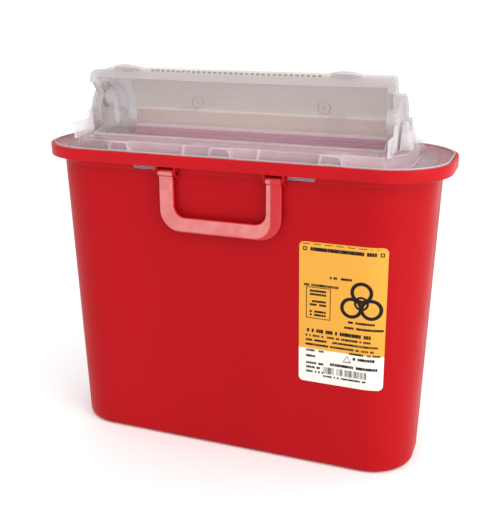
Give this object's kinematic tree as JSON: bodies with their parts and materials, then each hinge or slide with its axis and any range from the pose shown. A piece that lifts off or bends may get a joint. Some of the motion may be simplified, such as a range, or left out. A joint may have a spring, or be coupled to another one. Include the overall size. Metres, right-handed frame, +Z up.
{
  "type": "sharps container",
  "caption": "Free-standing tapered tub for used sharps with a lid that clips on, a rotary drum door across the lid, a swing-down carry handle and a front label.",
  "frame": {"origin": "middle of the flat underside of the tub, where it stands", "axes": "+Z up, -Y towards the front wall that carries the label and the handle, +X to the right seen from the front, along the door's axis"},
  "size_m": [0.305, 0.1142, 0.2902],
  "materials": {
    "tub_red": "satin red moulded polypropylene",
    "lid_clear": "natural translucent polypropylene, hazy gloss",
    "door_clear": "natural translucent polypropylene, frosted inside",
    "handle_red": "glossy red moulded polypropylene",
    "label_film": "printed film, amber above and white below"
  },
  "bodies": {
    "container": {"tub": "tub_red", "tub_rim": "tub_red", "lid_cover": "lid_clear", "front_label": "label_film"},
    "door": {"rotary_door": "door_clear"},
    "handle": {"carry_handle": "handle_red"}
  },
  "joints": [
    {"name": "door_turn", "type": "hinge", "parent": "container", "child": "door", "pos_m": [0, -0.003, 0.2525], "axis": [1, 0, 0], "range_deg": [0, 68]},
    {"name": "handle_swing", "type": "hinge", "parent": "container", "child": "handle", "pos_m": [0, -0.05429, 0.218], "axis": [-1, 0, 0], "range_deg": [-4, 120]}
  ]
}
